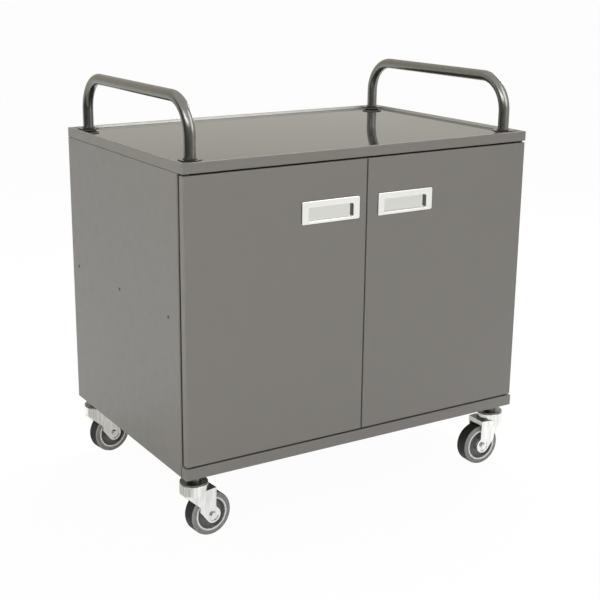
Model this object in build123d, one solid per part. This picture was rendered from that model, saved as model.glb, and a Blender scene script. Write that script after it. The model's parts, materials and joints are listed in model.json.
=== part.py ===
from build123d import *
import math
import os

os.makedirs("parts", exist_ok=True)

# Overall cabinet, millimetres, origin on the floor under its middle, front towards -Y
WIDTH = 900.0
DEPTH = 600.0
HALF_W = WIDTH / 2
FRONT = -DEPTH / 2
BACK = DEPTH / 2
CAP_TOP = 830.0
CAP_BOTTOM = 807.5
BASE_TOP = 176.0
BASE_BOTTOM = 150.0

# Sheet thicknesses and bends
BODY_SHEET = 1.2
CAP_SHEET = 1.5
BASE_SHEET = 1.5
DOOR_SHEET = 1.2
BEND = 1.8
SIDE_BEND = 2.6
RETURN = 22.0
CAP_CORNER = 3.0
CAP_EDGE = 1.5
CAP_UNDER_EDGE = 2.4
CAP_LIP = 20.0
CAP_FRONT_LIP = 16.0
BASE_LIP = 12.0
BASE_JOINT = 2.0
SHEET_GAP = 0.2

# Top recess, its edging and its insert
RIM = 6.0
RECESS_DEPTH = 6.0
RECESS_CORNER = 6.0
TRIM_W = 3.0
TRIM_DROP = 0.3
TRIM_SLOPE = 2.2
INSERT_THICK = 3.5
INSERT_GAP = 0.3
INSERT_EDGE = 0.6
POCKET_Z = CAP_TOP - RECESS_DEPTH - INSERT_THICK
UNDER_Z = POCKET_Z - CAP_SHEET

# Handles, with their collars, plugs and bolts
FOOT_X = 412.0
FOOT_Y = 262.0
FEET = [(x, y) for x in (-FOOT_X, FOOT_X) for y in (-FOOT_Y, FOOT_Y)]
TUBE_R = 12.5
TUBE_WALL = 1.5
BAR_Z = 951.0
BEND_R = 78.0
COLLAR_R = 25.0
COLLAR_TOP = CAP_TOP + 1.0
COLLAR_FLANGE = 2.5
COLLAR_NECK_R = 15.0
COLLAR_EDGE = 0.5
COLLAR_GAP = 0.3
PLUG_HEIGHT = 30.0
BOLT_R = 4.0
BOLT_HOLE_R = 4.3
BOLT_REACH = 24.0
BOLT_FLANGE_R = 9.0
BOLT_FLANGE = 1.5
BOLT_HEX = 13.0
BOLT_HEAD = 5.3

# Doors and their pivots
DOOR_OUTER = 447.5
DOOR_INNER = 1.75
DOOR_BOTTOM = 180.0
DOOR_TOP = 803.7
DOOR_THICK = 18.0
DOOR_BACK = FRONT + DOOR_THICK
DOOR_RETURN = 12.0
DOOR_EDGE = 1.6
LINER_SHEET = 1.0
LINER_MARGIN = 8.0
PIVOT_X = 437.5
PIVOT_Y = FRONT + DOOR_THICK / 2
PIN_R = 4.0
PIN_HEAD_R = 7.0
PIN_HEAD = 3.0
PIN_REACH = 6.0
BUSH_R = 6.0
BUSH_FLANGE_R = 7.5
BUSH_FLANGE = 1.5
BUSH_LENGTH = 7.0
WASHER_R = 6.5
RUN_GAP = 0.05
AXIAL_GAP = 0.3

# Flush pulls and their clips
PULL_X = {"left": -94.4, "right": 103.3}
PULL_Z = 699.0
PULL_W = 149.0
PULL_H = 50.0
PULL_PROUD = 1.5
PULL_CORNER = 4.0
PULL_EDGE = 1.2
CUP_Z = 695.2
CUP_W = 115.0
CUP_H = 30.0
CUP_DEPTH = 7.0
CUP_WALL = 1.5
CUP_CORNER = 3.0
CUP_EDGE = 0.8
CUP_GAP = 0.5
CLIP_HALF = 8.0
CLIP_WING = 12.0
CLIP_SHEET = 1.0

# Magnet catches and their strike plates
CATCH_X0 = -62.0
CATCH_X1 = -22.0
CATCH_LOW = 766.0
CATCH_HIGH = 790.0
CATCH_DEEP = 20.0
CATCH_FOOT = 34.0
CATCH_STEM = 7.0
CATCH_PLATE = 3.0
CATCH_EDGE = 2.0
STRIKE_MARGIN = 2.0

# Side panels, shelf, back panel and their fasteners
SIDE_FRONT = -276.0
BASE_RELIEF = 30.0
SHELF_TOP = 508.0
SHELF_LIP = 25.0
SHELF_FRONT = -272.0
SHELF_BACK = 297.4
SCREW_Z = 496.0
SCREW_Y = (-227.0, 22.0, 262.0)
SCREW_R = 2.5
SCREW_HOLE_R = 2.6
SCREW_HEAD_R = 3.6
SCREW_HEAD = 0.8
SCREW_LENGTH = 12.0
NUT_R = 4.5
NUT_LENGTH = 8.0
RIVET_Z = (220.0, 340.0, 460.0, 620.0, 760.0)
RIVET_X = 439.0
RIVET_R = 2.0
RIVET_HEAD_R = 4.5
RIVET_HEAD = 1.2
RIVET_EDGE = 0.9
RIVET_TAIL_R = 3.2
RIVET_TAIL = 1.6

# Casters
SWIVEL_X = 415.5
SWIVEL_Y = 265.5
RAIL_FRONT = -282.0
RAIL_BACK = 294.0
RAIL_BOTTOM = 151.5
RAIL_SHEET = 3.0
RAIL_GAP = 0.1
TRAIL = 34.5
AXLE_Z = 50.0
AXLE_R = 4.0
AXLE_HEX = 6.5
AXLE_HEAD = 5.0
AXLE_TAIL = 8.0
AXLE_BORE_HALF = 60.0
SLEEVE_R = 6.0
WHEEL_R = 50.0
WHEEL_HALF = 17.0
WHEEL_GAP = 4.0
CORE_R = 39.0
CORE_FACE = 16.0
RING_R = 35.0
RING_FACE = 17.4
RING_EDGE = 0.6
DISH = 9.0
DISH_STEP = 4.0
DISH_SLOPE = 1.5
HUB_R = 15.0
HUB_FACE = 17.0
HUB_CAP = 19.2
HUB_EDGE = 1.0
TYRE_SHOULDER = 5.0
FORK_HALF = 24.5
FORK_SHEET = 3.0
FORK_INNER = FORK_HALF - FORK_SHEET
CROWN_R = 31.5
CROWN_LOW = 106.0
CROWN_TOP = 128.7
CROWN_EDGE = 1.5
CHIN_R = 24.0
WEB = 4.0
FLARE_LOW = 78.0
SHOULDER_TOP = 115.0
SHOULDER_END = TRAIL + 7.0
HEEL = (1.0, 75.5)
KNEE = (2.0, 63.0)
BOSS_R = 18.0
BOSS_FILLET = 10.0
FORK_END = TRAIL + BOSS_R
BOSS_DISH_R = 14.0
SPACER_R = 12.0
SPACER = 2.0
KING_R = 6.0
KING_LOW = 110.0
KING_HEX = 19.0
KING_HEAD = 8.0
KING_NUT = 9.0
KING_FLANGE = 3.0
KING_FLANGE_R = 18.0
SPIGOT_R = 12.0
DISC_R = 31.0
DISC_LOW = 129.0
DISC_HIGH = 132.5
DISC_EDGE = 1.2
NECK_R = 16.0
CASTERS = {
    "front_left": (-SWIVEL_X, -SWIVEL_Y, 5.0),
    "front_right": (SWIVEL_X, -SWIVEL_Y, 178.0),
    "back_left": (-SWIVEL_X, SWIVEL_Y, 9.0),
    "back_right": (SWIVEL_X, SWIVEL_Y, 180.0),
}


def block(x0, x1, y0, y1, z0, z1):
    """Box between two corners."""
    middle = ((x0 + x1) / 2, (y0 + y1) / 2, (z0 + z1) / 2)
    return Pos(*middle) * Box(abs(x1 - x0), abs(y1 - y0), abs(z1 - z0))


def rod(x, y, z0, z1, radius):
    """Upright cylinder."""
    return Pos(x, y, (z0 + z1) / 2) * Cylinder(radius, z1 - z0)


def ring(x, y, z0, z1, inner, outer):
    """Upright tube."""
    return rod(x, y, z0, z1, outer) - rod(x, y, z0 - 1, z1 + 1, inner)


def hexagon(x, y, z0, z1, across_flats):
    """Upright hexagonal prism."""
    outline = RegularPolygon(across_flats / 2, 6, major_radius=False)
    return Pos(x, y, z0) * extrude(outline, z1 - z0)


def lying_x(shape, x, y, z):
    """An upright shape laid along +X about the given point."""
    return Pos(x, y, z) * Rot(0, 90, 0) * shape


def lying_y(shape, x, y, z):
    """An upright shape laid along +Y about the given point."""
    return Pos(x, y, z) * Rot(-90, 0, 0) * shape


def other_side(shape):
    """The same piece on the right-hand side."""
    return mirror(shape, about=Plane.YZ)


def group(pieces):
    """Several separate solids in one node."""
    return Compound(children=[solid for piece in pieces for solid in piece.solids()])


def save(name, shape):
    export_step(shape, f"parts/{name}.step")


def save_pair(name, left):
    """A left piece and its mirror image."""
    save(f"left_{name}", left)
    save(f"right_{name}", other_side(left))


# Top cap, edging and insert
def recess_outline(gap):
    """Rounded rectangle inside the rim, drawn in by a gap."""
    inset = RIM + gap
    return RectangleRounded(WIDTH - 2 * inset, DEPTH - 2 * inset, RECESS_CORNER - gap)


def make_top_cap():
    t = CAP_SHEET
    cap = block(-HALF_W, HALF_W, FRONT, BACK, CAP_BOTTOM, CAP_TOP)
    cap = fillet(cap.edges().filter_by(Axis.Z), CAP_CORNER)
    cap = fillet(cap.faces().sort_by(Axis.Z)[-1].edges(), CAP_EDGE)
    cap = fillet(cap.faces().sort_by(Axis.Z)[0].edges(), CAP_UNDER_EDGE)
    cap -= Pos(0, 0, POCKET_Z) * extrude(recess_outline(0), CAP_TOP - POCKET_Z)
    cap -= block(-HALF_W + t, HALF_W - t, FRONT + t, BACK - t, CAP_BOTTOM + t, UNDER_Z)
    mouth_x = HALF_W - CAP_LIP
    cap -= block(-mouth_x, mouth_x, FRONT + CAP_FRONT_LIP, BACK - CAP_LIP, CAP_BOTTOM - 1, UNDER_Z)
    for x, y in FEET:
        cap -= rod(x, y, UNDER_Z - 1, CAP_TOP, BOLT_HOLE_R)
    for x in (-PIVOT_X, PIVOT_X):
        cap -= rod(x, PIVOT_Y, CAP_BOTTOM - 1, CAP_BOTTOM + t + 1, PIN_R + RUN_GAP)
    return cap


def make_top_trim():
    """Edging round the recess, sloping down to the insert."""
    band = recess_outline(RUN_GAP) - recess_outline(TRIM_W)
    trim = Pos(0, 0, POCKET_Z) * extrude(band, CAP_TOP - TRIM_DROP - POCKET_Z)
    top_face = trim.faces().sort_by(Axis.Z)[-1]
    inner_edges = top_face.inner_wires()[0].edges()
    return chamfer(inner_edges, TRIM_SLOPE, RECESS_DEPTH - 2 * TRIM_DROP, reference=top_face)


def make_top_insert():
    outline = recess_outline(TRIM_W + INSERT_GAP)
    insert = Pos(0, 0, POCKET_Z) * extrude(outline, INSERT_THICK)
    for x, y in FEET:
        insert -= rod(x, y, POCKET_Z - 1, CAP_TOP, COLLAR_NECK_R + COLLAR_GAP)
    return fillet(insert.faces().sort_by(Axis.Z)[-1].edges(), INSERT_EDGE)


# Handles
def handle_path(x):
    """Centre line of one arched handle, from its front foot to its back foot."""
    shoulder = BAR_Z - BEND_R
    corner = FOOT_Y - BEND_R
    half = math.sqrt(0.5) * BEND_R
    up = Line((x, -FOOT_Y, POCKET_Z), (x, -FOOT_Y, shoulder))
    middle = (x, -corner - half, shoulder + half)
    front_bend = ThreePointArc((x, -FOOT_Y, shoulder), middle, (x, -corner, BAR_Z))
    bar = Line((x, -corner, BAR_Z), (x, corner, BAR_Z))
    middle = (x, corner + half, shoulder + half)
    back_bend = ThreePointArc((x, corner, BAR_Z), middle, (x, FOOT_Y, shoulder))
    down = Line((x, FOOT_Y, shoulder), (x, FOOT_Y, POCKET_Z))
    return Wire([up, front_bend, bar, back_bend, down])


def make_handle(x):
    section = Circle(TUBE_R) - Circle(TUBE_R - TUBE_WALL)
    return sweep(Pos(x, -FOOT_Y, POCKET_Z) * section, path=handle_path(x))


def make_handle_collars():
    """Thin flange round each foot, on a neck that passes through the insert."""
    under = COLLAR_TOP - COLLAR_FLANGE
    collars = []
    for x, y in FEET:
        flange = rod(x, y, under, COLLAR_TOP, COLLAR_R)
        flange = fillet(flange.edges().filter_by(GeomType.CIRCLE), COLLAR_EDGE)
        collar = flange + rod(x, y, POCKET_Z, COLLAR_TOP - COLLAR_EDGE, COLLAR_NECK_R)
        collars.append(collar - rod(x, y, POCKET_Z - 1, COLLAR_TOP + 1, TUBE_R + RUN_GAP))
    return group(collars)


def make_handle_plugs():
    outer = TUBE_R - TUBE_WALL - RUN_GAP
    top = POCKET_Z + PLUG_HEIGHT
    return group([ring(x, y, POCKET_Z, top, BOLT_R + RUN_GAP, outer) for x, y in FEET])


def make_handle_bolts():
    seat = UNDER_Z - BOLT_FLANGE
    bolts = []
    for x, y in FEET:
        bolt = rod(x, y, seat, POCKET_Z + BOLT_REACH, BOLT_R)
        bolt += rod(x, y, seat, UNDER_Z, BOLT_FLANGE_R)
        bolts.append(bolt + hexagon(x, y, seat - BOLT_HEAD, seat, BOLT_HEX))
    return group(bolts)


# Cabinet shell
def make_side_panel():
    t = BODY_SHEET
    low = BASE_BOTTOM - 1
    outer = block(-HALF_W, -HALF_W + RETURN, SIDE_FRONT, BACK, BASE_BOTTOM, CAP_BOTTOM)
    corners = outer.edges().filter_by(Axis.Z).sort_by(Axis.X)[:2]
    top_edge = outer.edges().filter_by(Axis.Y).sort_by(Axis.Z)[-2:].sort_by(Axis.X)[:1]
    outer = fillet(corners + top_edge, SIDE_BEND)
    panel = outer - block(-HALF_W + t, 0, SIDE_FRONT + t, BACK - t, low, CAP_BOTTOM - t)
    for y in SCREW_Y:
        panel -= lying_x(Cylinder(SCREW_HOLE_R, RETURN), -HALF_W, y, SCREW_Z)
    for z in RIVET_Z:
        panel -= lying_y(Cylinder(RIVET_R + RUN_GAP, RETURN), -RIVET_X, BACK, z)
    relief_back = SIDE_FRONT + BASE_RELIEF
    panel -= block(-HALF_W + t, 0, SIDE_FRONT - 1, relief_back, low, BASE_TOP)
    return panel - block(-HALF_W + t, 0, BACK - BASE_RELIEF, BACK - t, low, BASE_TOP)


def make_back_panel():
    t = BODY_SHEET
    reach = HALF_W - t - SHEET_GAP
    panel = block(-reach, reach, BACK - 2 * t, BACK - t, BASE_TOP, CAP_BOTTOM - t - AXIAL_GAP)
    for x in (-RIVET_X, RIVET_X):
        for z in RIVET_Z:
            panel -= lying_y(Cylinder(RIVET_R + RUN_GAP, RETURN), x, BACK, z)
    return panel


def make_back_panel_rivets():
    inside = BACK - 2 * BODY_SHEET
    head = Cylinder(RIVET_HEAD_R, RIVET_HEAD)
    head = fillet(head.faces().sort_by(Axis.Z)[-1].edges(), RIVET_EDGE)
    shank_mid = (BACK + inside) / 2
    rivets = []
    for x in (-RIVET_X, RIVET_X):
        for z in RIVET_Z:
            rivet = lying_y(head, x, BACK + RIVET_HEAD / 2, z)
            rivet += lying_y(Cylinder(RIVET_R, BACK - inside + 1), x, shank_mid, z)
            rivets.append(rivet + lying_y(Cylinder(RIVET_TAIL_R, RIVET_TAIL), x, inside - RIVET_TAIL / 2, z))
    return group(rivets)


def make_base_pan():
    t = BASE_SHEET
    wall = HALF_W - BODY_SHEET
    front = block(-HALF_W, HALF_W, FRONT, SIDE_FRONT, BASE_BOTTOM, BASE_TOP)
    front = fillet(front.edges().filter_by(Axis.X).sort_by(Axis.Y)[:2], CAP_EDGE)
    front = chamfer(front.edges().filter_by(Axis.Z).sort_by(Axis.Y)[-2:], BASE_JOINT)
    pan = front + block(-wall, wall, SIDE_FRONT, BACK - BODY_SHEET, BASE_BOTTOM, BASE_TOP)
    back = BACK - BODY_SHEET - t
    pan -= block(-wall + t, wall - t, FRONT + t, back, BASE_BOTTOM + t, BASE_TOP - t)
    pan -= block(-wall + t, wall - t, FRONT + BASE_LIP, back, BASE_BOTTOM - 1, BASE_BOTTOM + 2 * t)
    for x in (-PIVOT_X, PIVOT_X):
        pan -= rod(x, PIVOT_Y, BASE_TOP - t - 1, BASE_TOP + 1, PIN_R + RUN_GAP)
    return pan


def make_caster_rail():
    t = RAIL_SHEET
    outer = -(HALF_W - BODY_SHEET - BASE_SHEET - RAIL_GAP)
    inner = -(2 * SWIVEL_X + outer)
    rail = block(outer, inner, RAIL_FRONT, RAIL_BACK, RAIL_BOTTOM, BASE_TOP - BASE_SHEET)
    rail -= block(outer + t, inner - t, RAIL_FRONT - 1, RAIL_BACK + 1, RAIL_BOTTOM + t, BASE_TOP)
    for y in (-SWIVEL_Y, SWIVEL_Y):
        rail -= rod(-SWIVEL_X, y, RAIL_BOTTOM - 1, RAIL_BOTTOM + t + 1, KING_R + RUN_GAP)
    return rail


def make_middle_shelf():
    t = BODY_SHEET
    wall = HALF_W - t
    low = SHELF_TOP - SHELF_LIP
    shelf = block(-wall, wall, SHELF_FRONT, SHELF_BACK, low, SHELF_TOP)
    nose = shelf.edges().filter_by(Axis.X).sort_by(Axis.Y)[:2].sort_by(Axis.Z)[-1:]
    shelf = fillet(nose, BEND)
    shelf -= block(-wall + t, wall - t, SHELF_FRONT + t, SHELF_BACK - t, low - 1, SHELF_TOP - t)
    for y in SCREW_Y:
        shelf -= lying_x(Cylinder(SCREW_HOLE_R, WIDTH), 0, y, SCREW_Z)
    return shelf


def make_shelf_screws():
    screws = []
    for y in SCREW_Y:
        screw = lying_x(Cylinder(SCREW_HEAD_R, SCREW_HEAD), -HALF_W - SCREW_HEAD / 2, y, SCREW_Z)
        screw += lying_x(Cylinder(SCREW_R, SCREW_LENGTH), -HALF_W + SCREW_LENGTH / 2, y, SCREW_Z)
        screws += [screw, other_side(screw)]
    return group(screws)


def make_shelf_rivet_nuts():
    middle = -HALF_W + 2 * BODY_SHEET + NUT_LENGTH / 2
    body = Cylinder(NUT_R, NUT_LENGTH) - Cylinder(SCREW_R + RUN_GAP, NUT_LENGTH + 1)
    nuts = []
    for y in SCREW_Y:
        nut = lying_x(body, middle, y, SCREW_Z)
        nuts += [nut, other_side(nut)]
    return group(nuts)


# Doors, drawn on the left and mirrored for the right
def pull_cup(grow, depth, pull_x):
    """Rounded block, larger than the cup by grow on each side, reaching back from the pull's face."""
    outline = RectangleRounded(CUP_W + 2 * grow, CUP_H + 2 * grow, CUP_CORNER + grow)
    return Pos(pull_x, FRONT - PULL_PROUD, CUP_Z) * extrude(Plane.XZ * outline, -depth)


def make_door_skin(pull_x):
    t = DOOR_SHEET
    skin = block(-DOOR_OUTER, -DOOR_INNER, FRONT, DOOR_BACK, DOOR_BOTTOM, DOOR_TOP)
    skin = fillet(skin.faces().sort_by(Axis.Y)[0].edges(), DOOR_EDGE)
    left = -DOOR_OUTER + t
    right = -DOOR_INNER - t
    low = DOOR_BOTTOM + t
    high = DOOR_TOP - t
    skin -= block(left, right, FRONT + t, DOOR_BACK - t, low, high)
    r = DOOR_RETURN - t
    skin -= block(left + r, right - r, DOOR_BACK - 2 * t, DOOR_BACK + 1, low + r, high - r)
    skin -= pull_cup(CUP_WALL + CUP_GAP, DOOR_SHEET + 2 * PULL_PROUD, pull_x)
    for z in (DOOR_BOTTOM, DOOR_TOP):
        skin -= rod(-PIVOT_X, PIVOT_Y, z - 2 * t, z + 2 * t, BUSH_R + RUN_GAP)
    return skin


def make_door_liner():
    back = DOOR_BACK - DOOR_SHEET
    gap = DOOR_SHEET + SHEET_GAP
    low = DOOR_BOTTOM + LINER_MARGIN
    high = DOOR_TOP - LINER_MARGIN
    return block(-DOOR_OUTER + gap, -DOOR_INNER - gap, back - LINER_SHEET, back, low, high)


def make_hinge_bushes():
    bore = PIN_R + RUN_GAP
    bushes = []
    for end, inward in ((DOOR_BOTTOM, 1), (DOOR_TOP, -1)):
        z0, z1 = sorted((end, end + inward * BUSH_LENGTH))
        bush = ring(-PIVOT_X, PIVOT_Y, z0, z1, bore, BUSH_R)
        face = end + inward * DOOR_SHEET
        z0, z1 = sorted((face, face + inward * BUSH_FLANGE))
        bushes.append(bush + ring(-PIVOT_X, PIVOT_Y, z0, z1, bore, BUSH_FLANGE_R))
    return group(bushes)


def make_pull(pull_x):
    plate = extrude(Plane.XZ * RectangleRounded(PULL_W, PULL_H, PULL_CORNER), PULL_PROUD)
    plate = fillet(plate.faces().sort_by(Axis.Y)[0].edges(), PULL_EDGE)
    pull = Pos(pull_x, FRONT, PULL_Z) * plate
    pull += pull_cup(CUP_WALL, CUP_DEPTH + CUP_WALL, pull_x)
    pull -= pull_cup(0, CUP_DEPTH, pull_x)
    mouth = pull.faces().filter_by(Plane.XZ).sort_by(Axis.Y)[0].inner_wires()[0].edges()
    return fillet(mouth, CUP_EDGE)


def make_pull_clips(pull_x):
    inside = FRONT + DOOR_SHEET
    low = CUP_Z - CLIP_HALF
    high = CUP_Z + CLIP_HALF
    clips = []
    for side in (-1, 1):
        near = pull_x + side * (CUP_W / 2 + CUP_WALL)
        x0, x1 = sorted((near, near + side * CLIP_WING))
        clip = block(x0, x1, inside, inside + CLIP_SHEET, low, high)
        x0, x1 = sorted((near, near + side * CLIP_SHEET))
        clips.append(clip + block(x0, x1, inside, inside + CLIP_HALF, low, high))
    return group(clips)


def make_strike_plate():
    low = CATCH_LOW + STRIKE_MARGIN
    return block(CATCH_X0, CATCH_X1, DOOR_BACK - DOOR_SHEET, DOOR_BACK, low, CATCH_HIGH - STRIKE_MARGIN)


def make_magnet_catch():
    front = DOOR_BACK + AXIAL_GAP
    back = front + CATCH_DEEP
    housing = block(CATCH_X0, CATCH_X1, front, back, CATCH_LOW, CATCH_HIGH)
    housing = fillet(housing.edges().filter_by(Axis.X), CATCH_EDGE)
    stem_x0 = CATCH_X0 + CATCH_STEM
    stem_x1 = CATCH_X1 - CATCH_STEM
    stem = block(stem_x0, stem_x1, front + CATCH_STEM, back, CATCH_HIGH - CATCH_STEM, UNDER_Z)
    low = UNDER_Z - CATCH_PLATE
    foot = block(CATCH_X0, CATCH_X1, front + CATCH_STEM, front + CATCH_FOOT, low, UNDER_Z)
    return housing + stem + foot


def make_upper_hinge_pins():
    seat = CAP_BOTTOM + CAP_SHEET
    pin = rod(-PIVOT_X, PIVOT_Y, DOOR_TOP - PIN_REACH, seat, PIN_R)
    pin += rod(-PIVOT_X, PIVOT_Y, seat, seat + PIN_HEAD, PIN_HEAD_R)
    return group([pin, other_side(pin)])


def make_lower_hinge_pins():
    seat = BASE_TOP - BASE_SHEET
    pin = rod(-PIVOT_X, PIVOT_Y, seat, DOOR_BOTTOM + PIN_REACH, PIN_R)
    pin += rod(-PIVOT_X, PIVOT_Y, seat - PIN_HEAD, seat, PIN_HEAD_R)
    return group([pin, other_side(pin)])


def make_hinge_washers():
    top = DOOR_BOTTOM - AXIAL_GAP
    washer = ring(-PIVOT_X, PIVOT_Y, BASE_TOP, top, PIN_R + RUN_GAP, WASHER_R)
    return group([washer, other_side(washer)])


# Casters, drawn with the swivel axis on Z and the wheel trailing towards +X
def placed(shape, caster):
    """A caster piece turned to its rest direction and moved to its corner."""
    x, y, turn = CASTERS[caster]
    return Pos(x, y, 0) * Rot(0, 0, turn) * shape


def across(radius, v0, v1):
    """Cylinder along the axle."""
    return lying_y(Cylinder(radius, abs(v1 - v0)), TRAIL, (v0 + v1) / 2, AXLE_Z)


def tangent_below(px, pz):
    """Point where the line from (px, pz) touches the axle boss from below."""
    dx = TRAIL - px
    dz = AXLE_Z - pz
    far = math.hypot(dx, dz)
    angle = math.atan2(dz, dx) - math.asin(BOSS_R / far)
    reach = math.sqrt(far**2 - BOSS_R**2)
    return (px + reach * math.cos(angle), pz + reach * math.sin(angle))


def fork_profile():
    """Side view of the fork: crown, rounded chin, sloping front and a leg down to the axle boss."""
    points = [(-CROWN_R, CROWN_TOP), (-CROWN_R, CROWN_LOW), HEEL, KNEE, tangent_below(*KNEE)]
    points += [(TRAIL, AXLE_Z), (SHOULDER_END, AXLE_Z), (SHOULDER_END, SHOULDER_TOP)]
    points += [(CROWN_R, SHOULDER_TOP), (CROWN_R, CROWN_TOP)]
    view = make_face(Polyline(*points, close=True)) + Pos(TRAIL, AXLE_Z) * Circle(BOSS_R)
    chin = [v for v in view.vertices() if abs(v.X + CROWN_R) < 0.01 and v.Y < CROWN_TOP - 1]
    view = fillet(chin, CHIN_R)
    leg_end = [v for v in view.vertices() if abs(v.X - SHOULDER_END) < 0.01]
    above_boss = [v for v in leg_end if AXLE_Z < v.Y < SHOULDER_TOP - 1]
    return fillet(above_boss, BOSS_FILLET)


def fork_room():
    """Side view of the space behind the fork's sloping front."""
    run_x = HEEL[0] + CROWN_R
    run_z = HEEL[1] - CROWN_LOW
    length = math.hypot(run_x, run_z)
    start = (-CROWN_R - run_x - run_z * WEB / length, CROWN_LOW - run_z + run_x * WEB / length)
    end = (start[0] + 3 * run_x, start[1] + 3 * run_z)
    return make_face(Polyline(start, (end[0], start[1]), end, close=True))


def from_side(face):
    """A side view carried across the caster."""
    return Pos(0, CROWN_R, 0) * extrude(Plane.XZ * face, 2 * CROWN_R)


def fork_plan(radius, half):
    """Plan of the fork: round over the swivel, running straight into the ends of the legs."""
    corner = math.atan2(half, FORK_END)
    touch = corner + math.acos(radius / math.hypot(half, FORK_END))
    near = (radius * math.cos(touch), radius * math.sin(touch))
    far = (near[0], -near[1])
    sides = [Line((FORK_END, half), near), Line(far, (FORK_END, -half))]
    end = Line((FORK_END, -half), (FORK_END, half))
    return make_face(sides + [ThreePointArc(near, (-radius, 0), far), end])


def fork_body(inset):
    """Outside of the fork's legs, or their inside when drawn in: narrow below, as wide as the crown above."""
    half = FORK_HALF - inset
    low = fork_plan(half, half)
    high = fork_plan(CROWN_R - inset, half)
    body = extrude(low, FLARE_LOW) + loft([Pos(0, 0, FLARE_LOW) * low, Pos(0, 0, CROWN_LOW) * high])
    return body + Pos(0, 0, CROWN_LOW) * extrude(high, SHOULDER_TOP - inset - CROWN_LOW)


def make_fork():
    t = FORK_SHEET
    crown = rod(0, 0, CROWN_LOW, CROWN_TOP, CROWN_R)
    crown = fillet(crown.faces().sort_by(Axis.Z)[-1].edges(), CROWN_EDGE)
    fork = (fork_body(0) + crown) & from_side(fork_profile())
    inside = fork_body(t) + rod(0, 0, CROWN_LOW, CROWN_TOP - t, CROWN_R - t)
    inside += block(FORK_END - 1, FORK_END + 1, -FORK_INNER, FORK_INNER, 0, SHOULDER_TOP - t)
    fork -= inside & from_side(fork_room())
    fork -= across(WHEEL_R + WHEEL_GAP, -FORK_INNER, FORK_INNER)
    for side in (-1, 1):
        fork += across(SPACER_R, side * FORK_INNER, side * (FORK_INNER - SPACER))
        fork -= across(BOSS_DISH_R, side * FORK_HALF, side * (FORK_HALF - SPACER))
    fork -= across(AXLE_R + RUN_GAP, -AXLE_BORE_HALF, AXLE_BORE_HALF)
    return fork - rod(0, 0, CROWN_LOW, CROWN_TOP + 1, SPIGOT_R + RUN_GAP)


def make_axle():
    seat = FORK_HALF - SPACER
    sleeve_half = FORK_INNER - SPACER
    hexes = Plane.XZ * RegularPolygon(AXLE_HEX, 6, major_radius=False)
    head = Pos(TRAIL, -seat, AXLE_Z) * extrude(hexes, AXLE_HEAD)
    bolt = head + across(AXLE_R, -seat, seat + AXLE_TAIL)
    bore = across(AXLE_R + RUN_GAP, -AXLE_BORE_HALF, AXLE_BORE_HALF)
    nut = Pos(TRAIL, seat + AXLE_HEX, AXLE_Z) * extrude(hexes, AXLE_HEX) - bore
    sleeve = across(SLEEVE_R, -sleeve_half, sleeve_half) - bore
    return group([bolt, nut, sleeve])


def turned(points):
    """Solid of revolution about the axle from (radius, distance along the axle) points."""
    face = make_face(Polyline(*points, close=True))
    return Pos(TRAIL, 0, AXLE_Z) * revolve(face, Axis.Y, 360)


def make_wheel_core():
    half = [(SLEEVE_R + RUN_GAP, HUB_FACE), (HUB_R, HUB_FACE)]
    half += [(HUB_R + HUB_EDGE, DISH), (RING_R - DISH_STEP, DISH)]
    half += [(RING_R - DISH_SLOPE, CORE_FACE), (CORE_R, CORE_FACE)]
    return turned(half + [(r, -v) for r, v in reversed(half)])


def make_wheel_trim():
    step = RING_FACE - RING_EDGE
    rim = [(RING_R, CORE_FACE), (RING_R, step), (RING_R + RING_EDGE, RING_FACE)]
    rim += [(CORE_R - RING_EDGE, RING_FACE), (CORE_R, step), (CORE_R, CORE_FACE)]
    bore = SLEEVE_R + HUB_EDGE
    hub = [(bore, HUB_FACE), (bore, HUB_CAP), (HUB_R - HUB_EDGE, HUB_CAP)]
    hub += [(HUB_R, HUB_CAP - HUB_EDGE), (HUB_R, HUB_FACE)]
    rings = []
    for side in (-1, 1):
        for points in (rim, hub):
            rings.append(turned([(r, side * v) for r, v in points]))
    return group(rings)


def make_tyre():
    section = Pos((CORE_R + WHEEL_R) / 2, 0) * Rectangle(WHEEL_R - CORE_R, 2 * WHEEL_HALF)
    shoulders = [v for v in section.vertices() if v.X > WHEEL_R - 1]
    section = fillet(shoulders, TYRE_SHOULDER)
    return Pos(TRAIL, 0, AXLE_Z) * revolve(section, Axis.Y, 360)


def make_caster_head():
    disc = rod(0, 0, DISC_LOW, DISC_HIGH, DISC_R)
    disc = fillet(disc.edges().filter_by(GeomType.CIRCLE), DISC_EDGE)
    head = disc + rod(0, 0, DISC_LOW, RAIL_BOTTOM, NECK_R)
    head += rod(0, 0, CROWN_TOP - FORK_SHEET - AXIAL_GAP, DISC_HIGH, SPIGOT_R)
    return head - rod(0, 0, 0, WIDTH, KING_R + RUN_GAP)


def make_king_bolt():
    seat = RAIL_BOTTOM + RAIL_SHEET
    return rod(0, 0, KING_LOW, seat, KING_R) + hexagon(0, 0, seat, seat + KING_HEAD, KING_HEX)


def make_king_nut():
    top = CROWN_TOP - FORK_SHEET - AXIAL_GAP
    seat = top - KING_FLANGE
    nut = rod(0, 0, seat, top, KING_FLANGE_R) + hexagon(0, 0, seat - KING_NUT, seat, KING_HEX)
    return nut - rod(0, 0, 0, CROWN_TOP, KING_R + RUN_GAP)


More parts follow.
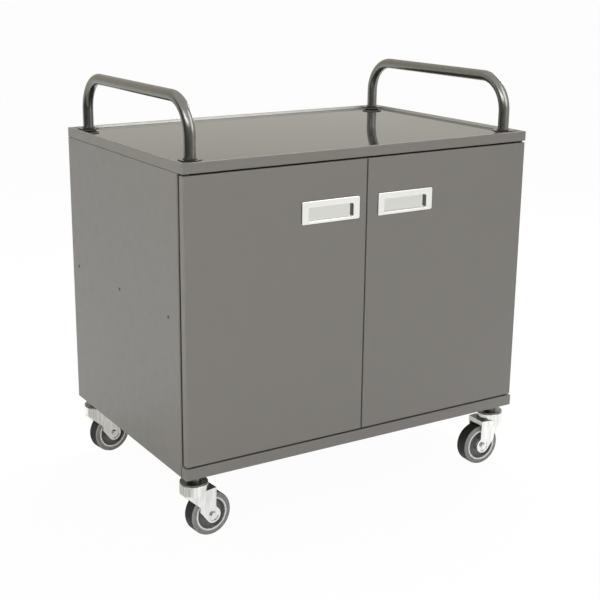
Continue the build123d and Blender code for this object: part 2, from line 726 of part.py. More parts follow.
# Cabinet
save("top_cap", make_top_cap())
save("top_trim", make_top_trim())
save("top_insert", make_top_insert())
save("left_handle", make_handle(-FOOT_X))
save("right_handle", make_handle(FOOT_X))
save("handle_collars", make_handle_collars())
save("handle_plugs", make_handle_plugs())
save("handle_bolts", make_handle_bolts())
save_pair("side_panel", make_side_panel())
save("back_panel", make_back_panel())
save("back_panel_rivets", make_back_panel_rivets())
save("base_pan", make_base_pan())
save_pair("caster_rail", make_caster_rail())
save("middle_shelf", make_middle_shelf())
save("shelf_screws", make_shelf_screws())
save("shelf_rivet_nuts", make_shelf_rivet_nuts())
save_pair("magnet_catch", make_magnet_catch())
save("upper_hinge_pins", make_upper_hinge_pins())
save("lower_hinge_pins", make_lower_hinge_pins())
save("hinge_washers", make_hinge_washers())

# Doors
save("left_door_skin", make_door_skin(PULL_X["left"]))
save("right_door_skin", other_side(make_door_skin(-PULL_X["right"])))
save_pair("door_liner", make_door_liner())
save_pair("hinge_bushes", make_hinge_bushes())
save_pair("strike_plate", make_strike_plate())
for side, pull_x in PULL_X.items():
    save(f"{side}_pull", make_pull(pull_x))
    save(f"{side}_pull_clips", make_pull_clips(pull_x))

# Casters
save("caster_heads", group([placed(make_caster_head(), name) for name in CASTERS]))
save("caster_king_bolts", group([placed(make_king_bolt(), name) for name in CASTERS]))
save("caster_king_nuts", group([placed(make_king_nut(), name) for name in CASTERS]))
for name in CASTERS:
    save(f"{name}_fork", placed(make_fork(), name))
    save(f"{name}_axle", placed(make_axle(), name))
    save(f"{name}_wheel_core", placed(make_wheel_core(), name))
    save(f"{name}_wheel_trim", placed(make_wheel_trim(), name))
    save(f"{name}_tyre", placed(make_tyre(), name))
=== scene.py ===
import json
import math

import bmesh
import bpy
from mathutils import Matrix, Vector


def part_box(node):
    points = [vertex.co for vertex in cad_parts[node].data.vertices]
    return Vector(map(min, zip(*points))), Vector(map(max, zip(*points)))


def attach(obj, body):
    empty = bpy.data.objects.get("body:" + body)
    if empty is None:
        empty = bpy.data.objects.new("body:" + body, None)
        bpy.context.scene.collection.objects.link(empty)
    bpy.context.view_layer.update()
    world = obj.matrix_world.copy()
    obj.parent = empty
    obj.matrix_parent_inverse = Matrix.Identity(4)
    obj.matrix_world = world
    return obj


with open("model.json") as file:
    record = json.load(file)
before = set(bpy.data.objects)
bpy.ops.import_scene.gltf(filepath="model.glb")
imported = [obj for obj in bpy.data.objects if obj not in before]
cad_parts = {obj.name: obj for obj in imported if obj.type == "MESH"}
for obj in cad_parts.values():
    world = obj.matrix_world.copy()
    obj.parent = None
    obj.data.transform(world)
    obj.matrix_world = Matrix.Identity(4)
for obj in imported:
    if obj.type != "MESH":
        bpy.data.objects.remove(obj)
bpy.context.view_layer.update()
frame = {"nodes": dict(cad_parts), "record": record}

NODES = frame["nodes"]
JOINTS = frame["record"]["behaviour"]["joints"]
SIDES = ("left", "right")
UP = (0.0, 0.0, 1.0)
WHITE = (1.0, 1.0, 1.0)

# Camera, solved from the straight edges of the cabinet
CAMERA_PLACE = (-1.4953, -2.3747, 1.2250)
CAMERA_PITCH = math.radians(74.469)
CAMERA_YAW = math.radians(-30.184)
CAMERA_LENS = 71.436
SENSOR = 36.0
CAMERA_SHIFT = (0.0790, -0.0231)

# Noise in the materials
NO_STRETCH = (1.0, 1.0, 1.0)
TONE_DETAIL = 4.0
BUMP_DETAIL = 2.0

# Depth of the cup of a pull, from the face of its plate to the bottom
CUP_MOUTH_Y = -0.3015
CUP_BOTTOM_Y = -0.2945

# Soft bead round the insert, as (out, up) from its top edge
SEAL_GAP = 0.0003
SEAL_CORNER = 0.003
SEAL_SECTION = [(0.0, 0.0), (0.0, 0.0003), (-0.0002, 0.0004), (-0.0005, 0.0003), (-0.0006, 0.0)]

# Gasket of a pull, as (out, forward) from the edge of its plate
PLATE_CORNER = 0.004
GASKET_SECTION = [(-0.0004, 0.0), (-0.0004, 0.0004), (0.0005, 0.0004), (0.0008, 0.0002), (0.0009, 0.0)]

# Black strip in the gap beside a door, as (inward, forward) from the corner of the side panel
STRIP_END = 0.003
STRIP_SECTION = [
    (0.0026, 0.0), (0.0030, 0.0010), (0.0050, 0.0012),
    (0.0175, 0.0012), (0.0195, 0.0010), (0.0200, 0.0),
]

# Line of sealant at the base, as (out, back) from the front edge of the side panel
SEAM_END = 0.001
SEAM_SECTION = [
    (-0.0002, -0.0007), (0.0001, -0.0006), (0.0002, 0.0), (0.0001, 0.0006), (-0.0002, 0.0007),
]

# Sleeves of the upper hinge pins
SLEEVE_BORE = 0.0041
SLEEVE_RADIUS = 0.0070
SLEEVE_EDGE = 0.0004
SLEEVE_GAP = 0.0002

# Lip on a handle's collar and cone under its flange, as (radius, height)
GROMMET_SECTION = [
    (0.01255, 0.0), (0.01255, 0.0016), (0.0132, 0.0019), (0.0143, 0.0015), (0.0155, 0.0),
]
FLANGE_THICK = 0.0025
CONE_BORE = 0.0153
CONE_FOOT = 0.0158
CONE_WAIST = (0.0180, 0.0016)
CONE_TOP = 0.0245

# Moulded line of a tyre, as (radius, distance from the middle of the wheel)
BEAD_SECTION = [
    (0.0434, 0.0168), (0.0436, 0.0172), (0.0440, 0.0173), (0.0444, 0.0172), (0.0446, 0.0168),
]

# Steps of the round pieces
CORNER_STEPS = 8
SLEEVE_STEPS = 32
GROMMET_STEPS = 48
CONE_STEPS = 64
BEAD_STEPS = 72

# World and floor
WORLD_STRENGTH = 0.46
HORIZON_TONE = (0.70, 0.68, 0.61, 1.0)
HORIZON_RISE = (0.08, 0.55)
BRIGHT_SIDE = (0.0, -0.5, 1.0)
FLOOR_HALF = 30.0
FLOOR_COLOR = (0.92, 0.92, 0.92, 1.0)
FLOOR_ROUGHNESS = 0.9
FLOOR_GLOW = 0.965
FLOOR_GLOSS_GLOW = 0.62

# Lamps, as place, size and power, all aimed at one point
LAMP_TARGET = (0.0, 0.0, 0.5)
LAMPS = {
    "key": ((-3.2, -1.6, 2.4), (2.0, 1.8), 49.0),
    "fill": ((-2.0, -3.1, 2.6), (2.0, 1.6), 25.0),
    "side": ((3.0, 1.2, 1.9), (0.7, 1.2), 24.0),
    "overhead": ((0.9, 0.7, 3.0), (1.6, 1.2), 60.0),
}
LAMPS_NOT_MIRRORED = ("overhead",)

# Dark side of the studio, seen in reflections only
DARK_RADIUS = 2.0
DARK_HEIGHT = 1.6
DARK_FROM = math.radians(-212.0)
DARK_TO = math.radians(-72.0)
DARK_STEPS = 24
DARK_SPAN = (-1.7, 0.5)
DARK_GLOW = (0.11, 0.52)

# Grey cards on the floor, seen in reflections only, as two corners and the glow along the span
CARD_TONE = (1.0, 0.98, 0.92, 1.0)
CARD_HEIGHT = 0.001
CARD_SPAN = (-0.64, -0.50)
CARDS = {
    "left_card": ((-2.5, -1.0), (-0.50, -0.22), (0.50, 1.0)),
    # Painted shadow: this card darkens the floor under the cabinet in reflections, for the cabinet's
    # shadow.
    "under_shadow_card": ((-2.5, -0.20), (0.40, 0.40), (0.50, 0.54)),
}

# Bright panel to the right of the camera, seen in reflections only
PANEL_FROM = (-0.41, -0.20, 0.90)
PANEL_AWAY = 2.0
PANEL_TURN = (math.radians(-62.0), math.radians(-34.0))
PANEL_RISE = (math.radians(8.0), math.radians(54.0))
PANEL_GLOW = 3.6


# Materials
class Look:
    """A Principled material under construction, in the object's own metres."""

    def __init__(self, name, color, roughness, metallic=0.0):
        self.material = bpy.data.materials.new(name)
        self.material.use_nodes = True
        self.nodes = self.material.node_tree.nodes
        self.links = self.material.node_tree.links
        self.shader = self.nodes["Principled BSDF"]
        self.coord = self.nodes.new("ShaderNodeTexCoord")
        self.color = color
        self.shader.inputs["Base Color"].default_value = (*color, 1.0)
        self.shader.inputs["Roughness"].default_value = roughness
        self.shader.inputs["Metallic"].default_value = metallic

    def feed(self, source, socket):
        """Links a node's output to a socket of the shader."""
        self.links.new(source, self.shader.inputs[socket])
        return self

    def noise(self, scale, detail=TONE_DETAIL, stretch=NO_STRETCH):
        """Noise over the object's metres, stretched along some axes."""
        mapping = self.nodes.new("ShaderNodeMapping")
        mapping.inputs["Scale"].default_value = stretch
        self.links.new(self.coord.outputs["Object"], mapping.inputs["Vector"])
        texture = self.nodes.new("ShaderNodeTexNoise")
        texture.inputs["Scale"].default_value = scale
        texture.inputs["Detail"].default_value = detail
        self.links.new(mapping.outputs["Vector"], texture.inputs["Vector"])
        return texture.outputs["Fac"]

    def ramp(self, source, low, high, start=0.35, end=0.65):
        """Maps a value to a colour range."""
        node = self.nodes.new("ShaderNodeValToRGB")
        node.color_ramp.elements[0].position = start
        node.color_ramp.elements[1].position = end
        node.color_ramp.elements[0].color = (*low, 1.0)
        node.color_ramp.elements[1].color = (*high, 1.0)
        self.links.new(source, node.inputs["Fac"])
        return node.outputs["Color"]

    def spread(self, source, low, high, start=0.3, end=0.7):
        """Maps a value to a number range."""
        node = self.nodes.new("ShaderNodeMapRange")
        node.inputs["From Min"].default_value = start
        node.inputs["From Max"].default_value = end
        node.inputs["To Min"].default_value = low
        node.inputs["To Max"].default_value = high
        self.links.new(source, node.inputs["Value"])
        return node.outputs["Result"]

    def mottle(self, scale, amount):
        """Slight variation of the base colour."""
        low = tuple(c * (1.0 - amount) for c in self.color)
        high = tuple(min(1.0, c * (1.0 + amount)) for c in self.color)
        return self.feed(self.ramp(self.noise(scale), low, high), "Base Color")

    def vary_roughness(self, scale, low, high, stretch=NO_STRETCH):
        """Patches of duller and brighter surface."""
        return self.feed(self.spread(self.noise(scale, stretch=stretch), low, high), "Roughness")

    def bump(self, scale, distance, strength, stretch=NO_STRETCH):
        """Fine relief."""
        node = self.nodes.new("ShaderNodeBump")
        node.inputs["Strength"].default_value = strength
        node.inputs["Distance"].default_value = distance
        self.links.new(self.noise(scale, BUMP_DETAIL, stretch), node.inputs["Height"])
        return self.feed(node.outputs["Normal"], "Normal")

    def along(self, source, axis):
        """The X, Y or Z part of a coordinate output."""
        split = self.nodes.new("ShaderNodeSeparateXYZ")
        self.links.new(self.coord.outputs[source], split.inputs["Vector"])
        return split.outputs[axis]

    def facing_y(self):
        """How far the surface faces along Y, from 0 to 1, in the object's own frame."""
        size = self.nodes.new("ShaderNodeMath")
        size.operation = "ABSOLUTE"
        self.links.new(self.along("Normal", "Y"), size.inputs[0])
        return size.outputs["Value"]

    def cup_depth(self):
        """0 on the face of a pull, 1 at the bottom of its cup."""
        return self.spread(self.along("Object", "Y"), 0.0, 1.0, start=CUP_MOUTH_Y, end=CUP_BOTTOM_Y)

    def bands(self, source, stops):
        """Maps a value to colours through several (position, tone) stops."""
        node = self.nodes.new("ShaderNodeValToRGB")
        elements = node.color_ramp.elements
        elements.remove(elements[1])
        for count, (position, tone) in enumerate(stops):
            element = elements.new(position) if count else elements[0]
            element.position = position
            element.color = (*tone, 1.0)
        self.links.new(source, node.inputs["Fac"])
        return node.outputs["Color"]

    def multiply(self, first, second):
        """Product of two colours."""
        blend = self.nodes.new("ShaderNodeMix")
        blend.data_type = "RGBA"
        blend.blend_type = "MULTIPLY"
        blend.inputs["Factor"].default_value = 1.0
        self.links.new(first, blend.inputs["A"])
        self.links.new(second, blend.inputs["B"])
        return blend.outputs["Result"]


def body_paint():
    look = Look("body_paint", (0.206, 0.195, 0.178), roughness=0.44)
    look.mottle(scale=30.0, amount=0.006)
    look.vary_roughness(scale=40.0, low=0.40, high=0.48)
    return look.bump(scale=650.0, distance=0.00003, strength=0.12).material


def edge_trim():
    look = Look("edge_trim", (0.50, 0.50, 0.475), roughness=0.56, metallic=1.0)
    look.mottle(scale=60.0, amount=0.02)
    look.vary_roughness(scale=60.0, low=0.52, high=0.60)
    return look.bump(scale=500.0, distance=0.00003, strength=0.10).material


def gloss_black():
    """Polished on top, moulded finish round the edge."""
    edge_to_top = {"start": 0.3, "end": 0.9}
    look = Look("gloss_black", (0.020, 0.019, 0.017), roughness=0.05)
    look.mottle(scale=120.0, amount=0.10)
    facing_up = look.along("Normal", "Z")
    look.feed(look.spread(facing_up, 0.60, 0.05, **edge_to_top), "Roughness")
    look.feed(look.spread(facing_up, 0.1, 0.5, **edge_to_top), "Specular IOR Level")
    return look.bump(scale=30.0, distance=0.00001, strength=0.06).material


def dark_zinc():
    look = Look("dark_zinc", (0.22, 0.22, 0.21), roughness=0.30, metallic=1.0)
    look.mottle(scale=140.0, amount=0.10)
    look.vary_roughness(scale=110.0, low=0.25, high=0.37)
    return look.bump(scale=700.0, distance=0.00003, strength=0.12).material


def top_panel():
    look = Look("top_panel", (0.040, 0.038, 0.034), roughness=0.04)
    look.mottle(scale=60.0, amount=0.06)
    look.vary_roughness(scale=9.0, low=0.03, high=0.06)
    return look.bump(scale=18.0, distance=0.00001, strength=0.08).material


def handle_paint():
    look = Look("handle_paint", (0.225, 0.223, 0.205), roughness=0.24, metallic=1.0)
    look.mottle(scale=80.0, amount=0.05)
    look.vary_roughness(scale=30.0, low=0.21, high=0.27)
    return look.bump(scale=900.0, distance=0.00002, strength=0.10).material


def pull_metal():
    """Satin chrome, with painted shade inside the cup: dark walls and a greyer bottom."""
    plate = (0.98, 0.98, 0.95)
    # Painted shade: the cup's walls and bottom get darker tones than the plate, for the shade inside
    # the cup.
    wall = (0.36, 0.36, 0.34)
    cup = (0.79, 0.79, 0.75)
    look = Look("pull_metal", plate, roughness=0.14, metallic=1.0)
    # Painted shade by depth: plate tone at the mouth, then dark walls, then the greyer bottom.
    stops = [(0.0, plate), (0.15, plate), (0.35, wall), (0.85, wall), (0.97, cup)]
    tone = look.bands(look.cup_depth(), stops)
    grain = look.noise(scale=150.0, stretch=(0.05, 1.0, 1.0))
    brushed = look.ramp(grain, (0.97, 0.97, 0.97), WHITE)
    look.feed(look.multiply(tone, brushed), "Base Color")
    look.vary_roughness(scale=400.0, low=0.12, high=0.17, stretch=(0.04, 1.0, 1.0))
    return look.bump(scale=3000.0, distance=0.00001, strength=0.06, stretch=(0.03, 1.0, 1.0)).material


def zinc():
    """Bright plate with drawn streaks, and painted shade darkening the faces that look up."""
    look = Look("zinc", (0.91, 0.91, 0.90), roughness=0.22, metallic=1.0)
    streaks = look.noise(scale=150.0, stretch=(1.0, 1.0, 0.06))
    plate = look.ramp(streaks, (0.80, 0.80, 0.78), (1.0, 1.0, 0.98))
    # Painted shade: faces that look up are darkened, for the dark underside of the cabinet above them.
    facing_up = look.along("Normal", "Z")
    painted_shade_on_top = look.ramp(facing_up, WHITE, (0.25, 0.25, 0.24), start=0.75, end=0.95)
    look.feed(look.multiply(plate, painted_shade_on_top), "Base Color")
    look.vary_roughness(scale=140.0, low=0.16, high=0.26, stretch=(1.0, 1.0, 0.12))
    return look.bump(scale=400.0, distance=0.00002, strength=0.06, stretch=(1.0, 1.0, 0.2)).material


def steel():
    look = Look("steel", (0.50, 0.51, 0.52), roughness=0.38, metallic=1.0)
    look.mottle(scale=120.0, amount=0.08)
    look.vary_roughness(scale=90.0, low=0.30, high=0.46)
    return look.bump(scale=800.0, distance=0.00004, strength=0.2).material


def dark_screw():
    look = Look("dark_screw", (0.035, 0.033, 0.031), roughness=0.40)
    look.mottle(scale=300.0, amount=0.2)
    return look.bump(scale=1200.0, distance=0.00003, strength=0.2).material


def nylon():
    look = Look("nylon", (0.66, 0.64, 0.58), roughness=0.5)
    look.mottle(scale=150.0, amount=0.04)
    return look.bump(scale=900.0, distance=0.00004, strength=0.2).material


def black_plastic():
    look = Look("black_plastic", (0.014, 0.014, 0.014), roughness=0.34)
    look.mottle(scale=200.0, amount=0.2)
    look.vary_roughness(scale=150.0, low=0.28, high=0.42)
    return look.bump(scale=1400.0, distance=0.00004, strength=0.2).material


def wheel_core():
    look = Look("wheel_core", (0.155, 0.155, 0.150), roughness=0.46)
    look.mottle(scale=150.0, amount=0.12)
    look.vary_roughness(scale=90.0, low=0.40, high=0.54)
    return look.bump(scale=1100.0, distance=0.00005, strength=0.25).material


def wheel_trim():
    look = Look("wheel_trim", (0.82, 0.82, 0.80), roughness=0.40)
    look.mottle(scale=150.0, amount=0.05)
    look.vary_roughness(scale=90.0, low=0.34, high=0.48)
    return look.bump(scale=1100.0, distance=0.00004, strength=0.2).material


def tyre():
    """Grey sidewalls and a darker, scuffed tread."""
    wall = (0.280, 0.279, 0.268)
    tread = (0.012, 0.012, 0.011)
    look = Look("tyre", wall, roughness=0.60)
    tone = look.ramp(look.facing_y(), tread, wall, start=0.30, end=0.62)
    worn = look.ramp(look.noise(scale=90.0, detail=5.0), (0.86, 0.86, 0.86), WHITE)
    look.feed(look.multiply(tone, worn), "Base Color")
    look.vary_roughness(scale=60.0, low=0.54, high=0.70)
    return look.bump(scale=1500.0, distance=0.00006, strength=0.3).material


LOOKS = (
    body_paint, edge_trim, top_panel, gloss_black, handle_paint, pull_metal, zinc, dark_zinc, steel,
    dark_screw, nylon, black_plastic, wheel_core, wheel_trim, tyre,
)


def dress_nodes():
    """Gives every CAD node the material of its slot."""
    materials = {make.__name__: make() for make in LOOKS}
    for entry in frame["record"]["subparts"]:
        node = NODES[entry["node"]]
        node.data.materials.clear()
        node.data.materials.append(materials[entry["material_slot"]])
    return materials


# Small pieces that the scene adds to the solids
def add_mesh(name, form, material):
    """Turns a finished form into an object with one material."""
    mesh = bpy.data.meshes.new(name)
    form.to_mesh(mesh)
    form.free()
    mesh.materials.append(material)
    thing = bpy.data.objects.new(name, mesh)
    bpy.context.scene.collection.objects.link(thing)
    return thing


def add_piece(name, form, body, slot):
    """A finished mesh that rides on a body and takes a slot's material."""
    bmesh.ops.recalc_face_normals(form, faces=form.faces)
    piece = add_mesh(name, form, MATERIALS[slot])
    for face in piece.data.polygons:
        face.use_smooth = True
    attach(piece, body)


def join(form, ring, following):
    """Faces between two outlines with as many points."""
    for i in range(len(ring)):
        j = (i + 1) % len(ring)
        form.faces.new((ring[i], ring[j], following[j], following[i]))


def sweep(form, frames, section):
    """Closed band: a section of (out, up) points repeated at each (place, out, up) frame."""
    rings = []
    for place, out, up in frames:
        rings.append([form.verts.new(place + out * a + up * b) for a, b in section])
    for ring, following in zip(rings, rings[1:] + rings[:1]):
        join(form, ring, following)


def upright_strip(form, corner, way, section, heights):
    """Closed bar between two heights, its section laid from a corner along X and Y."""
    ends = []
    for z in heights:
        points = [(corner[0] + way[0] * a, corner[1] + way[1] * b, z) for a, b in section]
        ends.append([form.verts.new(point) for point in points])
    join(form, ends[0], ends[1])
    for end in ends:
        form.faces.new(end)


def rounded_loop(half_w, half_h, corner):
    """Points of a rounded rectangle, each with its outward direction."""
    loop = []
    for quarter in range(4):
        right = 1 if quarter in (0, 3) else -1
        upper = 1 if quarter in (0, 1) else -1
        for step in range(CORNER_STEPS + 1):
            angle = math.pi / 2 * (quarter + step / CORNER_STEPS)
            out = Vector((math.cos(angle), math.sin(angle)))
            middle = Vector((right * (half_w - corner), upper * (half_h - corner)))
            loop.append((middle + out * corner, out))
    return loop


def ring_frames(centre, axis, steps):
    """Frames round an axis through a centre."""
    axis = Vector(axis).normalized()
    side = axis.orthogonal().normalized()
    other = axis.cross(side)
    frames = []
    for step in range(steps):
        angle = 2 * math.pi * step / steps
        frames.append((Vector(centre), side * math.cos(angle) + other * math.sin(angle), axis))
    return frames


def upright_rings(centres, z, steps, section):
    """A form with one ring round each (x, y) centre at a height."""
    form = bmesh.new()
    for x, y in centres:
        sweep(form, ring_frames((x, y, z), UP, steps), section)
    return form


def handle_feet():
    """Middle of each foot of the handles, as (x, y)."""
    feet = []
    for side in SIDES:
        low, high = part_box(f"{side}_handle")
        radius = (high[0] - low[0]) / 2
        for y in (low[1] + radius, high[1] - radius):
            feet.append((low[0] + radius, y))
    return feet


def add_insert_seal():
    """Soft bead between the edging and the top panel."""
    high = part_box("top_insert")[1]
    frames = []
    for place, out in rounded_loop(high[0] + SEAL_GAP, high[1] + SEAL_GAP, SEAL_CORNER):
        frames.append((Vector((*place, high[2])), Vector((*out, 0.0)), Vector(UP)))
    form = bmesh.new()
    sweep(form, frames, SEAL_SECTION)
    add_piece("insert_seal", form, "cabinet", "black_plastic")


def add_pull_gasket(side):
    """Thin gasket that shows round the plate of a pull."""
    low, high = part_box(f"{side}_pull")
    face_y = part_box(f"{side}_door_skin")[0][1]
    centre = Vector(((low[0] + high[0]) / 2, face_y, (low[2] + high[2]) / 2))
    forward = Vector((0.0, -1.0, 0.0))
    frames = []
    for place, out in rounded_loop((high[0] - low[0]) / 2, (high[2] - low[2]) / 2, PLATE_CORNER):
        spot = centre + Vector((place[0], 0.0, place[1]))
        frames.append((spot, Vector((out[0], 0.0, out[1])), forward))
    form = bmesh.new()
    sweep(form, frames, GASKET_SECTION)
    add_piece(f"{side}_pull_gasket", form, f"{side}_door", "black_plastic")


def add_door_gap_strip(side):
    """Flat black strip on the front edge of a side panel, behind the hinge edge of its door, which
    makes the gap there dark.
    """
    low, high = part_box(f"{side}_side_panel")
    inward = 1.0 if side == "left" else -1.0
    edge = low[0] if side == "left" else high[0]
    heights = (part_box("base_pan")[1][2] + STRIP_END, high[2] - STRIP_END)
    form = bmesh.new()
    upright_strip(form, (edge, low[1]), (inward, -1.0), STRIP_SECTION, heights)
    add_piece(f"{side}_door_seal", form, "cabinet", "black_plastic")


def add_base_seams():
    """Line of sealant where each side panel meets the front lip of the base."""
    low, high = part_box("base_pan")
    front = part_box("left_side_panel")[0][1]
    heights = (low[2] + SEAM_END, high[2] - SEAM_END)
    form = bmesh.new()
    for out, edge in ((-1.0, low[0]), (1.0, high[0])):
        upright_strip(form, (edge, front), (out, 1.0), SEAM_SECTION, heights)
    add_piece("base_seams", form, "cabinet", "black_plastic")


def add_hinge_sleeves():
    """Plastic sleeve round each upper hinge pin, in the gap between the door and the cap."""
    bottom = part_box("left_door_skin")[1][2] + SLEEVE_GAP
    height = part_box("top_cap")[0][2] - bottom
    section = [(SLEEVE_BORE, 0.0), (SLEEVE_RADIUS - SLEEVE_EDGE, 0.0), (SLEEVE_RADIUS, SLEEVE_EDGE)]
    section += [(SLEEVE_RADIUS, height), (SLEEVE_BORE, height)]
    pins = [joint["pos_m"][:2] for joint in JOINTS if joint["name"].endswith("_door_hinge")]
    form = upright_rings(pins, bottom, SLEEVE_STEPS, section)
    add_piece("hinge_sleeves", form, "cabinet", "black_plastic")


def add_handle_grommets():
    """Soft lip round each foot of the handles, on top of its collar."""
    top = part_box("handle_collars")[1][2]
    form = upright_rings(handle_feet(), top, GROMMET_STEPS, GROMMET_SECTION)
    add_piece("handle_grommets", form, "cabinet", "black_plastic")


def add_collar_spacers():
    """Satin cone under the flange at each foot of the handles."""
    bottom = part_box("top_insert")[1][2]
    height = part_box("handle_collars")[1][2] - FLANGE_THICK - SEAL_GAP - bottom
    section = [(CONE_BORE, 0.0), (CONE_FOOT, 0.0), CONE_WAIST, (CONE_TOP, height), (CONE_BORE, height)]
    form = upright_rings(handle_feet(), bottom, CONE_STEPS, section)
    add_piece("collar_spacers", form, "cabinet", "edge_trim")


def add_tyre_beads(joint):
    """Fine moulded line on both walls of a tyre."""
    form = bmesh.new()
    for side in (-1, 1):
        axis = [side * a for a in joint["axis"]]
        sweep(form, ring_frames(joint["pos_m"], axis, BEAD_STEPS), BEAD_SECTION)
    add_piece(joint["child"].replace("_wheel", "_tyre_beads"), form, joint["child"], "tyre")


def add_details():
    add_insert_seal()
    for side in SIDES:
        add_pull_gasket(side)
        add_door_gap_strip(side)
    add_base_seams()
    add_hinge_sleeves()
    add_handle_grommets()
    add_collar_spacers()
    for joint in JOINTS:
        if joint["name"].endswith("_spin"):
            add_tyre_beads(joint)


# Stage
def floor_glow(nodes, links):
    """Share of plain white in the floor: large in view, less in reflections, none in its light."""
    path = nodes.new("ShaderNodeLightPath")
    in_view = nodes.new("ShaderNodeMath")
    in_view.operation = "MULTIPLY"
    in_view.inputs[1].default_value = FLOOR_GLOW
    links.new(path.outputs["Is Camera Ray"], in_view.inputs[0])
    mirrored = nodes.new("ShaderNodeMath")
    mirrored.operation = "MULTIPLY_ADD"
    mirrored.inputs[1].default_value = FLOOR_GLOSS_GLOW
    links.new(path.outputs["Is Glossy Ray"], mirrored.inputs[0])
    links.new(in_view.outputs["Value"], mirrored.inputs[2])
    return mirrored.outputs["Value"]


def make_floor():
    material = bpy.data.materials.new("floor")
    material.use_nodes = True
    nodes = material.node_tree.nodes
    links = material.node_tree.links
    lit = nodes["Principled BSDF"]
    lit.inputs["Base Color"].default_value = FLOOR_COLOR
    lit.inputs["Roughness"].default_value = FLOOR_ROUGHNESS
    lit.inputs["Specular IOR Level"].default_value = 0.0
    glow = nodes.new("ShaderNodeEmission")
    mix = nodes.new("ShaderNodeMixShader")
    links.new(floor_glow(nodes, links), mix.inputs["Fac"])
    links.new(lit.outputs["BSDF"], mix.inputs[1])
    links.new(glow.outputs["Emission"], mix.inputs[2])
    links.new(mix.outputs["Shader"], nodes["Material Output"].inputs["Surface"])
    form = bmesh.new()
    bmesh.ops.create_grid(form, x_segments=1, y_segments=1, size=FLOOR_HALF)
    floor = add_mesh("floor", form, material)


def add_reflector(name, form, material):
    """Adds a surface that only reflections see."""
    reflector = add_mesh(name, form, material)
    reflector.visible_camera = False
    reflector.visible_diffuse = False
    reflector.visible_shadow = False


def glow_material(name):
    """A material with nothing but an even glow, and its glow node."""
    material = bpy.data.materials.new(name)
    material.use_nodes = True
    nodes = material.node_tree.nodes
    glow = nodes.new("ShaderNodeEmission")
    material.node_tree.links.new(glow.outputs["Emission"], nodes["Material Output"].inputs["Surface"])
    return material, glow


def grade(material, glow, span, levels):
    """Lets a glow change from left to right: its levels at the two ends of a span along X."""
    nodes = material.node_tree.nodes
    links = material.node_tree.links
    split = nodes.new("ShaderNodeSeparateXYZ")
    links.new(nodes.new("ShaderNodeNewGeometry").outputs["Position"], split.inputs["Vector"])
    across = nodes.new("ShaderNodeMapRange")
    across.inputs["From Min"].default_value = span[0]
    across.inputs["From Max"].default_value = span[1]
    across.inputs["To Min"].default_value = levels[0]
    across.inputs["To Max"].default_value = levels[1]
    links.new(split.outputs["X"], across.inputs["Value"])
    links.new(across.outputs["Result"], glow.inputs["Strength"])


def make_dark_side():
    """Curved curtain on the side that the light comes past, darkest at its left end."""
    form = bmesh.new()
    rows = []
    for step in range(DARK_STEPS + 1):
        angle = DARK_FROM + (DARK_TO - DARK_FROM) * step / DARK_STEPS
        x = DARK_RADIUS * math.cos(angle)
        y = DARK_RADIUS * math.sin(angle)
        rows.append((form.verts.new((x, y, 0.0)), form.verts.new((x, y, DARK_HEIGHT))))
    for (low, high), (next_low, next_high) in zip(rows, rows[1:]):
        form.faces.new((low, next_low, next_high, high))
    material, glow = glow_material("dark_side")
    grade(material, glow, DARK_SPAN, DARK_GLOW)
    add_reflector("dark_side", form, material)


def make_cards():
    """Grey cards on the floor beside and under the casters; the card under the cabinet is a painted
    shadow in reflections.
    """
    for name, (low, high, levels) in CARDS.items():
        form = bmesh.new()
        corners = [(low[0], low[1]), (high[0], low[1]), (high[0], high[1]), (low[0], high[1])]
        form.faces.new([form.verts.new((x, y, CARD_HEIGHT)) for x, y in corners])
        material, glow = glow_material(name)
        glow.inputs["Color"].default_value = CARD_TONE
        grade(material, glow, CARD_SPAN, levels)
        add_reflector(name, form, material)


def make_bright_panel():
    """Panel whose image runs down the front bend of the handles."""
    form = bmesh.new()
    corners = [(PANEL_TURN[0], PANEL_RISE[0]), (PANEL_TURN[1], PANEL_RISE[0])]
    corners += [(PANEL_TURN[1], PANEL_RISE[1]), (PANEL_TURN[0], PANEL_RISE[1])]
    points = []
    for turn, rise in corners:
        way = (math.cos(rise) * math.cos(turn), math.cos(rise) * math.sin(turn), math.sin(rise))
        points.append(form.verts.new([p + PANEL_AWAY * w for p, w in zip(PANEL_FROM, way)]))
    form.faces.new(points)
    material, glow = glow_material("bright_panel")
    glow.inputs["Strength"].default_value = PANEL_GLOW
    add_reflector("bright_panel", form, material)


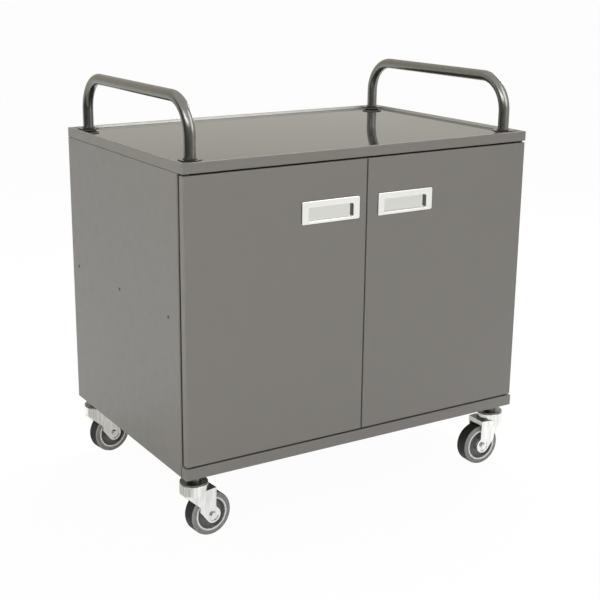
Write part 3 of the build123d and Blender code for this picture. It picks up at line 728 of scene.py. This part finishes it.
def make_world():
    """Even light on the object; white to the camera, and a softer horizon in reflections."""
    world = bpy.data.worlds.new("studio")
    world.use_nodes = True
    nodes = world.node_tree.nodes
    links = world.node_tree.links
    even = nodes["Background"]
    even.inputs["Color"].default_value = (*WHITE, 1.0)
    even.inputs["Strength"].default_value = WORLD_STRENGTH
    white = nodes.new("ShaderNodeBackground")
    white.inputs["Color"].default_value = (*WHITE, 1.0)
    mirrored = nodes.new("ShaderNodeBackground")
    ramp = nodes.new("ShaderNodeValToRGB")
    ramp.color_ramp.elements[0].position = HORIZON_RISE[0]
    ramp.color_ramp.elements[0].color = HORIZON_TONE
    ramp.color_ramp.elements[1].position = HORIZON_RISE[1]
    ramp.color_ramp.elements[1].color = (*WHITE, 1.0)
    lean = nodes.new("ShaderNodeVectorMath")
    lean.operation = "DOT_PRODUCT"
    lean.inputs[1].default_value = BRIGHT_SIDE
    links.new(nodes.new("ShaderNodeTexCoord").outputs["Generated"], lean.inputs[0])
    links.new(lean.outputs["Value"], ramp.inputs["Fac"])
    links.new(ramp.outputs["Color"], mirrored.inputs["Color"])
    path = nodes.new("ShaderNodeLightPath")
    gloss = nodes.new("ShaderNodeMixShader")
    links.new(path.outputs["Is Glossy Ray"], gloss.inputs["Fac"])
    links.new(even.outputs["Background"], gloss.inputs[1])
    links.new(mirrored.outputs["Background"], gloss.inputs[2])
    mix = nodes.new("ShaderNodeMixShader")
    links.new(path.outputs["Is Camera Ray"], mix.inputs["Fac"])
    links.new(gloss.outputs["Shader"], mix.inputs[1])
    links.new(white.outputs["Background"], mix.inputs[2])
    links.new(mix.outputs["Shader"], nodes["World Output"].inputs["Surface"])
    bpy.context.scene.world = world


def make_lights():
    for name, (place, size, power) in LAMPS.items():
        light = bpy.data.lights.new(name, "AREA")
        light.shape = "RECTANGLE"
        light.size = size[0]
        light.size_y = size[1]
        light.energy = power
        lamp = bpy.data.objects.new(name, light)
        lamp.location = place
        aim = Vector(LAMP_TARGET) - Vector(place)
        lamp.rotation_euler = aim.to_track_quat("-Z", "Y").to_euler()
        lamp.visible_glossy = name not in LAMPS_NOT_MIRRORED
        bpy.context.scene.collection.objects.link(lamp)


def make_camera():
    camera = bpy.data.cameras.new("camera")
    camera.sensor_width = SENSOR
    camera.lens = CAMERA_LENS
    camera.shift_x = CAMERA_SHIFT[0]
    camera.shift_y = CAMERA_SHIFT[1]
    holder = bpy.data.objects.new("camera", camera)
    holder.location = CAMERA_PLACE
    holder.rotation_euler = (CAMERA_PITCH, 0.0, CAMERA_YAW)
    bpy.context.scene.collection.objects.link(holder)
    bpy.context.scene.camera = holder


MATERIALS = dress_nodes()
add_details()
make_floor()
make_dark_side()
make_cards()
make_bright_panel()
make_world()
make_lights()
make_camera()
bpy.context.scene.view_settings.view_transform = "Standard"
